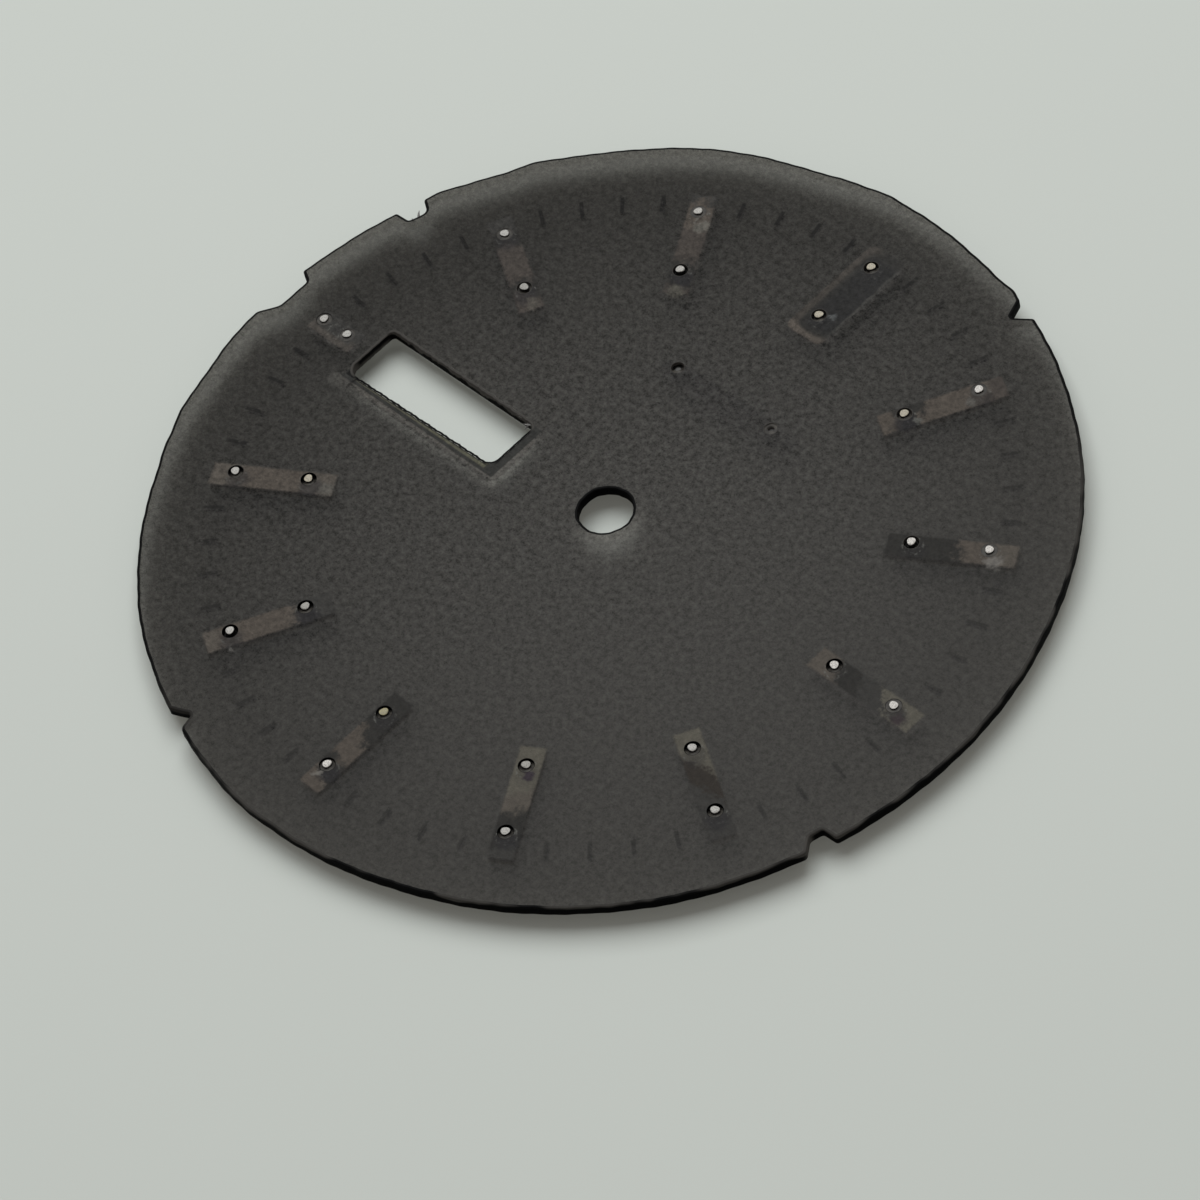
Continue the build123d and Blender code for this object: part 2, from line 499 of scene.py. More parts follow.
class Contact(Enum):
    """How a marker's foot meets the plate, as the colour that shows through from the back."""

    DRY = (79, 73, 67)
    DIM = (68, 63, 59)
    PALE = (87, 84, 76)
    ASHEN = (82, 77, 71)
    DARK = (51, 50, 48)
    PLAIN = (57, 56, 54)
    BROWN = (50, 46, 42)
    WET = (46, 45, 43)


class Tip(Enum):
    """Colour of a peg's filed tip."""

    BRIGHT = (226, 222, 216)
    PLAIN = (190, 188, 183)
    DULL = (166, 164, 158)
    WARM = (188, 180, 160)
    BRASSY = (166, 158, 122)


# From a marker's inner end (0) to its outer end (1), where each kind of contact begins.
FOOT_CONTACT: dict[int, tuple[tuple[float, Contact], ...]] = {
    12: ((0.0, Contact.WET), (0.5, Contact.DARK)),
    1: (
        (0.0, Contact.DIM), (0.08, Contact.WET), (0.33, Contact.DIM), (0.66, Contact.DRY),
        (0.9, Contact.PLAIN),
    ),
    2: (
        (0.0, Contact.DIM), (0.18, Contact.WET), (0.3, Contact.DIM), (0.68, Contact.WET),
        (0.82, Contact.PLAIN),
    ),
    3: ((0.0, Contact.PLAIN),),
    4: ((0.0, Contact.ASHEN), (0.22, Contact.DRY), (0.74, Contact.ASHEN)),
    5: ((0.0, Contact.PLAIN), (0.3, Contact.DRY), (0.86, Contact.ASHEN)),
    6: ((0.0, Contact.WET), (0.42, Contact.DRY), (0.68, Contact.WET), (0.86, Contact.DRY)),
    7: ((0.0, Contact.PALE), (0.4, Contact.ASHEN), (0.58, Contact.WET), (0.84, Contact.PLAIN)),
    8: ((0.0, Contact.PALE), (0.32, Contact.BROWN), (0.6, Contact.PLAIN)),
    9: ((0.0, Contact.ASHEN), (0.22, Contact.WET), (0.45, Contact.PLAIN), (0.67, Contact.PALE)),
    10: ((0.0, Contact.WET), (0.55, Contact.DRY), (0.8, Contact.ASHEN)),
    11: ((0.0, Contact.DRY), (0.14, Contact.WET), (0.35, Contact.DRY), (0.85, Contact.DIM)),
}

# Darkness of the peg's shadow inside the plate, from twelve to eleven: inner pegs, then outer ones.
PEG_SHADOW = (
    (0.3, 0.9, 0.8, 0.1, 0.8, 1.0, 0.5, 0.3, 0.5, 0.1, 0.4, 1.0),
    (0.2, 0.0, 0.6, 0.2, 0.7, 0.8, 0.9, 0.8, 0.8, 0.9, 0.0, 0.6),
)

# Grey level of the painted shade beside each marker's foot on its near side, from twelve to eleven.
SIDE_SHADE_LEVEL = (66, 56, 52, 68, 40, 44, 44, 46, 60, 74, 48, 46)

# How far the adhesive's edges lean: distance along for each millimetre across, from twelve to eleven.
LEAN = (0.4, 0.2, 0.3, 0.0, 0.3, -0.2, 0.6, -0.3, 1.3, -0.7, -0.3, 0.4)


@dataclass(frozen=True)
class Blot:
    """One spot or film seen in a marker's foot: hour, distance along and across it, radius and colour."""

    hour: int
    along: float
    across: float
    radius: float
    colour: tuple[int, int, int]


# Spots and films seen in the feet; the dark violet spots at seven and nine are painted peg shadows.
BLOTS = (
    Blot(1, 11.48, 0.17, 0.24, (98, 96, 90)), Blot(1, 8.81, 0.0, 0.26, (82, 80, 73)),
    Blot(2, 8.96, 0.1, 0.24, (84, 80, 74)), Blot(4, 8.9, -0.15, 0.26, (87, 85, 80)),
    Blot(5, 12.06, -0.52, 0.1, (98, 96, 93)), Blot(6, 12.24, 0.13, 0.12, (108, 105, 100)),
    Blot(7, 9.78, -0.1, 0.15, (44, 35, 47)), Blot(9, 12.22, 0.22, 0.22, (56, 48, 51)),
    Blot(10, 12.09, 0.26, 0.26, (112, 109, 105)), Blot(11, 9.83, 0.26, 0.13, (88, 88, 84)),
    Blot(11, 11.62, 0.2, 0.16, (86, 84, 80)), Blot(12, 9.8, 0.26, 0.14, (84, 86, 86)),
)


@dataclass(frozen=True)
class Box:
    """An upright rectangle on the back: its centre and half its sizes."""

    x: float
    y: float
    half_x: float
    half_y: float


@dataclass
class BackPattern:
    """Colour of the plate's back, laid on film by film.

    What touches the front is seen through the plate, so it is moved by the slant. Along and across are
    a place's distances along its nearest hour and across it. The near side is where the dial is lowest
    in the photograph.
    """

    where: Field
    body: Colour = shade(59.8, 59, 57.8)
    slant: Triple = (0.13, -0.09, 0.0)
    frame_ring: Box = Box(-7.065, -0.125, 3.335, 1.125)
    # Box of the painted light line along the window's lower side.
    frame_glow_line: Box = Box(-7.08, -0.1, 2.9, 1.03)
    overcut: Box = Box(-9.93, -1.25, 0.04, 0.24)
    mark_middle: float = 12.34

    def __post_init__(self) -> None:
        """Work out the places and the noises that the films share."""
        self.seen = self.where.vectors("SUBTRACT", self.slant)
        self.beyond = self.seen.vectors("SUBTRACT", [1.2 * part for part in self.slant])
        self.hour, self.along, self.across = self.fold(self.seen, HOUR_STEP)
        self.depth = self.foot_depth(self.hour, self.along, self.across)
        self.nearness = self.where.dot(NEAR_SIDE)
        self.grain = self.where.noise(4.6, 3, 0.9)
        self.wide = self.where.noise(1.5)
        self.narrow = self.where.noise(7, 2, 0.7)

    def fold(self, where: Field, sector: float) -> tuple[Field, Field, Field]:
        """Fold the dial into equal sectors centred on the hours or on the minutes.

        With a = atan2(-x, y) the clock angle and k the nearest multiple of the sector, the place along
        the sector is r cos(a - k) and the place across it, to the right when outward is up, is
        -r sin(a - k).

        Args:
            where: Place.
            sector: Angle of a sector in degrees.

        Returns:
            Number of the sector, distance along and distance across.
        """
        x, y, _ = where.parts()
        reach = (x * x + y * y).maths("SQRT")
        turn = (x * -1.0).maths("ARCTAN2", y) * (180 / (math.pi * sector))
        nearest = turn.maths("ROUND")
        rest = (turn - nearest) * math.radians(sector)
        along, across = reach * rest.maths("COSINE"), reach * rest.maths("SINE") * -1.0
        return nearest.maths("FLOORED_MODULO", 360 / sector), along, across

    def foot_depth(self, hour: Field, along: Field, across: Field) -> Field:
        """How far a place lies inside the outline of its hour's marker foot, negative outside."""
        twelve, three = hour.equals(0), hour.equals(3)
        half = twelve * ((DOUBLE_WIDTH - MARKER_WIDTH) / 2) + MARKER_WIDTH / 2
        inner, outer = (three * (short - full) + full for short, full in zip(SHORT_ENDS, MARKER_ENDS))
        ends = (along - inner).least(outer - along)
        return (half - abs(across)).maths("SMOOTH_MIN", ends, twelve.lerp(0.06, 0.5))

    def box_depth(self, box: Box) -> Field:
        """How far a place lies inside an upright rectangle, negative outside."""
        x, y, _ = self.where.vectors("SUBTRACT", (box.x, box.y, 0.0)).parts()
        return (box.half_x - abs(x)).least(box.half_y - abs(y))

    def peg_distance(self, along: Field, across: Field) -> Field:
        """Distance to the nearer of an hour's two pegs."""
        middle, apart = (PEG_REACH[0] + PEG_REACH[1]) / 2, (PEG_REACH[1] - PEG_REACH[0]) / 2
        off = abs(abs(along - middle) - apart)
        return (off * off + across * across).maths("SQRT")

    def hour_scale(self, hour: Field, levels: Sequence[Colour]) -> Field:
        """Pick a colour by the hour from twelve of them."""
        stops = [(number / 12, level) for number, level in enumerate(levels)]
        return ((hour + 0.5) * (1 / 12)).ramp(stops, sharp=True)

    def contact_scale(self, place: Field, first: int) -> Field:
        """Contact colours of four hours in a row, from the first on, each fading into the next.

        The place is the hour's number plus the share of its marker's length.
        """
        fade = 0.035
        stops = []
        for number in range(4):
            before = None
            for start, kind in FOOT_CONTACT[(first + number) or 12]:
                if before:
                    stops.append(((number + start - fade) / 4, shade(*before.value)))
                stops.append(((number + start + (fade if before else 0.0)) / 4, shade(*kind.value)))
                before = kind
            stops.append(((number + 0.985) / 4, shade(*before.value)))
        return ((place - float(first)) * 0.25).ramp(stops)

    def foot_colour(self) -> Field:
        """Colour of each marker's foot: contacts with bent, leaning edges, and films about the pegs."""
        bend = self.wide.lerp(-0.55, 0.55) + self.narrow.lerp(-0.4, 0.4)
        leaning = self.hour_scale(self.hour, [even((lean + 1) / 3) for lean in LEAN])
        bent = self.along + bend + self.across * leaning.lerp(-1.0, 2.0)
        place = self.hour + bent.lerp(0.02, 0.97, *MARKER_ENDS)
        colour = self.contact_scale(place, 0)
        for first in (4, 8):
            colour = self.hour.step(first - 0.6, first - 0.4).blend(colour, self.contact_scale(place, first))
        away = self.peg_distance(self.along, self.across)
        rim = away.band(0.27, 0.31, 0.33, 0.37) * self.narrow.step(0.5, 0.6)
        lifted = self.narrow.step(0.55, 0.66) * self.wide.step(0.45, 0.6)
        film = rim.most((away + bend * 0.35).step(0.5, 0.3) * lifted)
        return (film * 0.6).blend(colour, shade(98, 98, 94))

    def side_shade_strip(self, colour: Field) -> Field:
        """Paint shade in a strip beside each marker's foot on the near side, where its flank shows."""
        side = self.foot_depth(*self.fold(self.beyond, HOUR_STEP))
        strip = side.step(-0.05, 0.05) * self.wide.lerp(0.35, 1.1)
        levels = [shade(level, level - 2, level - 4) for level in SIDE_SHADE_LEVEL]
        return strip.blend(colour, self.hour_scale(self.hour, levels))

    def peg_shadow(self, colour: Field) -> Field:
        """Darken the colour on the near side of each peg, where its shank is seen through the plate."""
        hour, along, across = self.fold(self.beyond, HOUR_STEP)
        tables = [self.hour_scale(hour, [even(amount) for amount in amounts]) for amounts in PEG_SHADOW]
        amount = along.step(10.6, 10.9).blend(*tables)
        bend = self.wide.lerp(-0.16, 0.16) + self.narrow.lerp(-0.14, 0.14)
        away = self.peg_distance(along, across) + bend
        return (away.step(0.5, 0.2) * amount * 0.8).blend(colour, shade(40, 39, 41))

    def foot_lines(self, colour: Field) -> Field:
        """Line the feet at twelve and three along the edges where adhesive has squeezed out."""
        border = self.depth.band(-0.06, 0.02, 0.14, 0.3)
        ends = self.along.step(9.15, 8.85) * 0.85 + self.across.step(0.0, -0.6) * 0.4
        three = self.hour.equals(3) * self.across.step(0.1, -0.25) * 0.5
        return (border * (self.hour.equals(0) * ends + three)).blend(colour, shade(84, 78, 72))

    def double_marker(self, colour: Field) -> Field:
        """Darken the middle of the foot at twelve, paint shadow beside it, and line its right edge."""
        span = self.along.band(9.0, 9.4, 12.2, 12.6) * self.hour.equals(0)
        middle = self.across.band(-0.5, -0.2, 0.6, 0.68) * span * 0.6
        # Painted shadow of the marker's side, in the strip beside the foot.
        beside = self.across.band(0.8, 0.9, 1.1, 1.3) * span * 0.5
        line = abs(self.across + self.wide.lerp(-0.58, -0.84)).step(0.1, 0.02) * span * 0.45
        colour = middle.blend(colour, shade(38, 38, 39))
        colour = beside.blend(colour, shade(40, 40, 39))
        return line.blend(colour, shade(78, 77, 74))

    def blots(self, colour: Field) -> Field:
        """Lay the single spots and films over the feet, each with a ragged edge."""
        inputs = {"Vector": self.seen, "Scale": 4.0, "Detail": 2.0}
        stray = self.seen.bench.out("TexNoise", inputs, "Color")
        centred = self.seen.vectors("ADD", (-0.25, -0.25, 0.0))
        ragged = stray.vectors("MULTIPLY_ADD", (0.5, 0.5, 0.0), centred)
        for blot in BLOTS:
            x, y = clock_turn(np.array([[blot.across, blot.along]]), blot.hour * HOUR_STEP)[0]
            strength = ragged.distance((x, y, 0.0)).step(blot.radius * 1.35, blot.radius * 0.5)
            colour = (strength * 0.8).blend(colour, shade(*blot.colour))
        return colour

    def glow(self) -> Field:
        """How far the light that comes in at the openings brightens the plastic, from 0 to 1.

        It does beside the window's frame on its near side, most at the right end, on the near side of
        the bore, and along the rim on the side of the lamp.
        """
        reach = self.where.length()
        x, y, _ = self.where.parts()
        right, low = x.step(-3.85, -3.7) * y.step(1.3, -0.6) * 0.6, y.step(-1.2, -1.3) * 0.32
        frame = self.box_depth(self.frame_ring).band(-0.55, -0.05, -0.03, 0.03) * right.most(low)
        bore = reach.step(1.5, 0.95) * self.nearness.step(0.1, 0.8) * 0.3
        rim = reach.step(13.4, 14.2) * self.nearness.step(-3.0, -10.0) * 0.14
        return frame.most(bore).most(rim)

    def window_line(self) -> Field:
        """Where the back is painted black in a thin line along the window's near side and its inner end."""
        x, y, _ = self.where.parts()
        level = self.where.dot((-0.0175, 1.0, 0.0))
        side = level.step(-0.955, -0.93) * y.step(-0.5, -0.6) * x.band(-10.4, -10.3, -4.3, -4.1)
        end = x.band(-4.3, -4.2, -3.985, -3.96) * abs(y).step(0.85, 0.7)
        return side.most(end) * self.narrow.step(0.15, 0.45) * 0.9

    def minute_marks(self) -> Field:
        """Where the minute marks show through, none of them at an hour."""
        minute, along, across = self.fold(self.seen, MINUTE_STEP)
        mark = abs(across).step(0.09, 0.04) * abs(along - self.mark_middle).step(0.36, 0.28)
        between = minute.maths("FLOORED_MODULO", 5.0).step(0.4, 0.6)
        return mark * between * self.narrow.step(0.25, 0.5) * (self.nearness * -0.026 + 0.7)

    def body_with_painted_sheen(self) -> Field:
        """Body colour with painted sheen, slowly changing by 1.18 + 0.029 x - 0.0145 y - 0.0027 r ** 2."""
        # Painted sheen: lighter towards the near side and darker towards the rim.
        slope = self.where.dot((0.029, -0.0145, 0.0))
        return (slope + self.where.dot(self.where) * -0.0027 + 1.18).grey().tinted(self.body)

    def paint(self) -> tuple[Field, Field, Field]:
        """Lay on all the films.

        Returns:
            The colour, the grain's grey level that it was multiplied by, and where the plate is opaque
            because something touches its front.
        """
        foot = (self.depth + self.narrow.lerp(-0.05, 0.05)).step(-0.06, 0.06)
        ring = self.box_depth(self.frame_ring).step(-0.03, 0.03)
        # Painted light: a paler olive line along the window's lower side, where light comes in at the frame.
        glow_line = self.box_depth(self.frame_glow_line).step(-0.03, 0.03) * self.wide.lerp(0.4, 1.5)
        lit, marks = self.glow(), self.minute_marks()
        colour = foot.blend(self.side_shade_strip(self.body_with_painted_sheen()), self.foot_colour())
        colour = self.blots(self.double_marker(self.foot_lines(self.peg_shadow(colour))))
        overcut = self.box_depth(self.overcut).step(-0.03, 0.02) * 0.8
        for film, tone in (
            (lit, (116, 114, 109)), (ring, (50, 50, 48)), (glow_line, (86, 85, 72)), (marks, (26, 25, 24)),
            (overcut, (22, 21, 20)), (self.window_line(), (10, 10, 10)),
        ):
            colour = film.blend(colour, shade(*tone))
        solid = foot.most(ring).most(marks)
        mottle = self.grain.lerp(-1.0, 1.0, 0.34, 0.66) * self.nearness.step(-5.0, 10.0).lerp(0.8, 0.36)
        cloud = (self.narrow - 0.5) * foot * 0.4
        level = (mottle * solid.most(lit).lerp(1.0, 0.5) + cloud + 1.0).grey()
        return colour.tinted(level), level, solid


@dataclass(frozen=True)
class SmokedPlate:
    """Smoked see-through plastic: pebbled matt back, dark lips and cut walls, sunray front.

    The back lets some light straight through and scatters some, and the front passes half of it, so what
    lies in front of the plate shows faintly from the back and lit places glow through. A marker's foot
    touches the plate, so it is part of the back's own colour.
    """

    clear: float = 0.21
    haze: float = 0.12
    front_clear: float = 0.5
    tint: Colour = (1.0, 0.975, 0.95, 1.0)
    inside: Colour = (0.5, 0.48, 0.46, 1.0)
    # Pale spots: the one in the cut at 250 degrees is painted light glowing through its wall.
    pale_spots: tuple[Triple, ...] = ((13.22, -5.17, -0.2), (-10.24, -0.86, -0.2))

    def back(self) -> Material:
        """Pebbled matt back, with the feet of the markers, the frame and the print showing through."""
        bench = NodeBench("smoked_plate_back")
        pattern = BackPattern(bench.place())
        colour, level, solid = pattern.paint()
        plastic = bench.plain(
            Base_Color=colour, Roughness=pattern.grain.lerp(0.4, 0.6), IOR=1.5, Specular_IOR_Level=0.06,
            Normal=pattern.grain.bump(0.04),
        )
        through = bench.add("BsdfTransparent", {"Color": self.tint})
        scatter = bench.add("BsdfTranslucent", {"Color": level.tinted(shade(226, 223, 219))})
        hazy = bench.mix(solid.lerp(self.haze / (1 - self.clear), 0.0), plastic, scatter)
        return bench.finish(bench.mix(solid.lerp(self.clear, 0.0), hazy, through))

    def cut_face(self, bench: NodeBench, plastic: Node) -> Material:
        """Finish a cut face, which the light inside the plate still passes."""
        through = bench.add("BsdfTransparent", {"Color": self.inside})
        return bench.finish(bench.mix(bench.behind(), plastic, through))

    def edge_colour(self, where: Field, score: Field) -> Field:
        """Colour of the lips and the cut walls.

        They are near black. On the window's side towards twelve the upper part is as pale as the back,
        down to an uneven level. On the near part of the rim the upper part is painted pale as a sheen, down
        to an uneven level. On the window's outer end the lip is pale and the wall pales downwards as painted
        light. One spot in the cut at 250 degrees is painted pale as glowing light, and one at the window's
        outer near corner is pale.

        Args:
            where: Place in millimetres.
            score: Noise of the cutter's marks.

        Returns:
            The colour.
        """
        x, y, z = where.parts()
        reach = where.length()
        window = reach.band(2.0, 3.0, 12.2, 12.5)
        near_rim = reach.step(12.3, 12.6) * where.dot(NEAR_SIDE).step(1.0, 5.0)
        chipped = where.stretched(1.6, 1.6, 0.0).noise(1.0, 3, 0.6).lerp(0.12, -0.42)
        sway = where.noise(0.55).lerp(0.24, -0.32)
        # Patch colour, lighter on the wall than on the lip as painted light on the wall.
        pale = z.step(-0.08, -0.03).blend(shade(86, 83, 80), shade(70, 68, 65))
        colour = score.blend(shade(2, 2, 3), shade(13, 13, 13))
        far = window * y.step(0.7, 0.95) * (z - chipped).step(-0.025, 0.025)
        # Painted light: on the window's outer end the lip is pale and the wall pales downwards.
        outer = window * x.step(-10.2, -10.32) * y.step(0.9, 0.7)
        outer = outer * z.step(-0.04, -0.02).most(z.step(-0.12, FRONT))
        # Painted sheen: the near rim's upper part is painted pale down to an uneven level.
        near_rim_sheen = near_rim * (z - sway).step(-0.04, 0.04) * 0.75
        # Pale spots; the one in the cut at 250 degrees is painted light.
        torn = [where.distance(place).step(0.42, 0.24) * 0.85 for place in self.pale_spots]
        for patch in (far, outer, near_rim_sheen, *torn):
            colour = patch.blend(colour, pale)
        return colour

    def lip(self) -> Material:
        """Black rounded lip where the cutter broke the edge, with a few pale nicks."""
        bench = NodeBench("smoked_plate_lip")
        where = bench.place()
        nicks = where.noise(9, 3, 0.7)
        colour = nicks.step(0.7, 0.8).blend(self.edge_colour(where, nicks), shade(58, 56, 53))
        return self.cut_face(bench, bench.plain(
            Base_Color=colour, Roughness=nicks.lerp(0.4, 0.65), Specular_IOR_Level=0.04,
            Normal=nicks.bump(0.02, 0.8),
        ))

    def wall(self) -> Material:
        """Cut wall scored by the cutter."""
        bench = NodeBench("smoked_plate_wall")
        where = bench.place()
        score = where.stretched(7.0, 7.0, 40.0).noise(1.0, 3, 0.6)
        return self.cut_face(bench, bench.plain(
            Base_Color=self.edge_colour(where, score), Roughness=score.lerp(0.4, 0.65),
            Specular_IOR_Level=0.01, Normal=score.bump(0.015, 0.6),
        ))

    def front(self) -> Material:
        """Smooth front with a fine sunray brush: noise on the unit vector from the bore axis."""
        bench = NodeBench("smoked_plate_front")
        brush = bench.place().stretched(1.0, 1.0, 0.0).vectors("NORMALIZE").noise(110, 3, 0.7)
        plastic = bench.plain(
            Base_Color=brush.blend(shade(30, 29, 28), shade(56, 54, 52)), Roughness=brush.lerp(0.2, 0.4),
            Normal=brush.bump(0.004, 0.6), Coat_Weight=0.3, Coat_Roughness=0.06,
        )
        through = bench.add("BsdfTransparent", {"Color": self.tint})
        return bench.finish(bench.mix(self.front_clear, plastic, through))

    def make(self) -> list[Material]:
        """The four finishes, in the order of the plate's slots: back, lip, wall and front."""
        return [self.back(), self.lip(), self.wall(), self.front()]


@dataclass(frozen=True)
class MarkerMetal:
    """Plated marker: brushed along its face, polished bevels, peg tips filed dull."""

    plating: Colour = shade(226, 226, 224)

    def make(self) -> Material:
        """Build the material."""
        bench = NodeBench("marker_metal_finish")
        lay, tone = bench.layer("lay", "Vector"), bench.layer("tip", "Color")
        streak = lay.stretched(26.0, 0.8, 26.0).noise(1.0, 3, 0.65)
        pits = bench.place().noise(22, 3, 0.7)
        file = lay.stretched(20.0, 34.0, 1.0).noise(1.0, 3, 0.7)
        height = lay.parts()[2]
        face, shank = height.step(-0.845, -0.856), height.step(-0.35, -0.34)
        tip = bench.out("SeparateColor", {0: tone}).step(0.05, 0.2)
        filed = (tip * file.step(0.42, 0.7)).blend(tone, shade(118, 116, 112))
        colour = (pits * 0.3).blend(self.plating, shade(170, 170, 168))
        # Below their tips the pegs take a near-black tone: partly resin stain, partly painted shade.
        colour = shank.blend(colour, filed)
        # Painted shade: a near-black band on the foot face that touches the plate, shown through it as a dark
        # strip.
        colour = height.band(-0.37, -0.363, -0.357, -0.35).blend(colour, shade(34, 31, 29))
        rough = pits.lerp(0.1, 0.24) + face * streak.lerp(0.1, 0.28) + shank * 0.3
        relief = face * streak + tip * file * 0.8
        return bench.finish(bench.plain(
            Base_Color=colour, Roughness=rough, Metallic=shank.lerp(1.0, 0.0), Specular_IOR_Level=0.3,
            Normal=relief.bump(0.012, 0.6),
        ))


@dataclass(frozen=True)
class PolishedMetal:
    """Bright polished metal with faint handling marks."""

    name: str
    # Foot colour, painted shade: dark on the badge bar, mid grey on the frame to match the shade under the
    # plate.
    foot: Colour
    plating: Colour = shade(224, 224, 223)

    def make(self) -> Material:
        """Build the material."""
        bench = NodeBench(self.name)
        where = bench.place()
        height = where.parts()[2]
        marks = where.stretched(3.0, 16.0, 9.0).noise(1.0, 4, 0.7)
        tip = height.step(-0.2, -0.15)
        colour = where.noise(2.2, 3, 0.6).blend(self.plating, shade(204, 204, 203))
        # Painted shade: the foot face that touches the plate takes the foot colour, shown through the plate.
        colour = height.band(-0.366, -0.361, -0.358, -0.355).blend(colour, self.foot)
        colour = tip.blend(colour, shade(62, 61, 59))
        return bench.finish(bench.plain(
            Base_Color=colour, Roughness=marks.lerp(0.08, 0.22) + tip * 0.4, Metallic=tip.lerp(1.0, 0.0),
            Normal=marks.bump(0.004, 0.5),
        ))


@dataclass(frozen=True)
class LuminousPaint:
    """Granular pale green luminous filling."""

    paint: Colour = shade(214, 222, 200)

    def make(self) -> Material:
        """Build the material."""
        bench = NodeBench("luminous_paint_finish")
        where = bench.place()
        grains, clumps = where.cells(22), where.noise(5, 3, 0.6)
        colour = (grains * 0.5).blend(self.paint, shade(176, 188, 150))
        colour = clumps.step(0.62, 0.75).blend(colour, shade(232, 236, 222))
        relief = grains * 0.7 + clumps * 0.5
        return bench.finish(bench.plain(
            Base_Color=colour, Roughness=clumps.lerp(0.7, 0.9), Normal=relief.bump(0.02, 0.8),
        ))


@dataclass(frozen=True)
class WhitePrint:
    """Thin pad-printed white ink with uneven cover over a dark undercoat."""

    ink: Colour = shade(226, 226, 223)

    def make(self) -> Material:
        """Build the material."""
        bench = NodeBench("white_print_finish")
        where = bench.place()
        cover, height = where.noise(12, 3, 0.6), where.parts()[2]
        colour = cover.step(0.5, 0.8).blend(self.ink, shade(190, 190, 187))
        colour = height.step(-0.363, -0.361).blend(colour, shade(30, 29, 28))
        return bench.finish(bench.plain(
            Base_Color=colour, Roughness=cover.lerp(0.45, 0.65), Normal=cover.bump(0.004, 0.6),
        ))


@dataclass(frozen=True)
class CuredAdhesive:
    """Brown-grey cured resin with a soft gloss, a few bubbles and painted shade deep in the holes."""

    resin: Colour = shade(44, 41, 38)

    def make(self) -> Material:
        """Build the material."""
        bench = NodeBench("cured_adhesive_finish")
        where = bench.place()
        flow, bubbles, height = where.noise(6), where.cells(9), where.parts()[2]
        colour = flow.step(0.35, 0.65).blend(self.resin, shade(70, 67, 62))
        colour = bubbles.step(0.12, 0.06).blend(colour, shade(96, 93, 86))
        # Painted shade: near black below the top of the resin, deep in the hole.
        colour = height.step(-0.1, -0.17).blend(colour, shade(14, 13, 13))
        relief = flow * 0.8 + bubbles.step(0.2, 0.05) * 0.4
        return bench.finish(bench.plain(
            Base_Color=colour, Roughness=flow.lerp(0.35, 0.6), IOR=1.5, Specular_IOR_Level=0.2,
            Normal=relief.bump(0.03, 0.7),
        ))


@dataclass(frozen=True)
class TornPlastic:
    """Stress-whitened plastic of the burrs left by the cutter."""

    pale: Colour = shade(132, 130, 127)

    def make(self) -> Material:
        """Build the material."""
        bench = NodeBench("torn_plastic_finish")
        tear = bench.place().noise(18, 3, 0.7)
        colour = tear.step(0.4, 0.62).blend(self.pale, shade(58, 57, 55))
        return bench.finish(bench.plain(
            Base_Color=colour, Roughness=tear.lerp(0.35, 0.6), Normal=tear.bump(0.02, 0.8),
        ))


@dataclass(frozen=True)
class PaleFloor:
    """Pale satin table top, clear when looked at from below."""

    paint: Colour = shade(202, 207, 201)

    def make(self) -> Material:
        """Build the material."""
        bench = NodeBench("pale_floor_finish")
        cloud = bench.place().noise(0.03)
        colour = cloud.lerp(0.0, 0.3).blend(self.paint, shade(196, 200, 195))
        satin = bench.plain(Base_Color=colour, Roughness=0.55, Specular_IOR_Level=0.25)
        return bench.finish(bench.mix(bench.behind(), satin, bench.add("BsdfTransparent", {})))


@dataclass(frozen=True)
class RimCut:
    """A cut in the rim, drawn at twelve o'clock with outward up.

    Mouth and floor are given as how far they reach to the right and to the left of the clock angle, and
    the radii as those of the right mouth, right floor, left floor and left mouth corner.
    """

    angle: float
    mouth: Pair
    floor: Pair
    depth: float
    radii: Quad


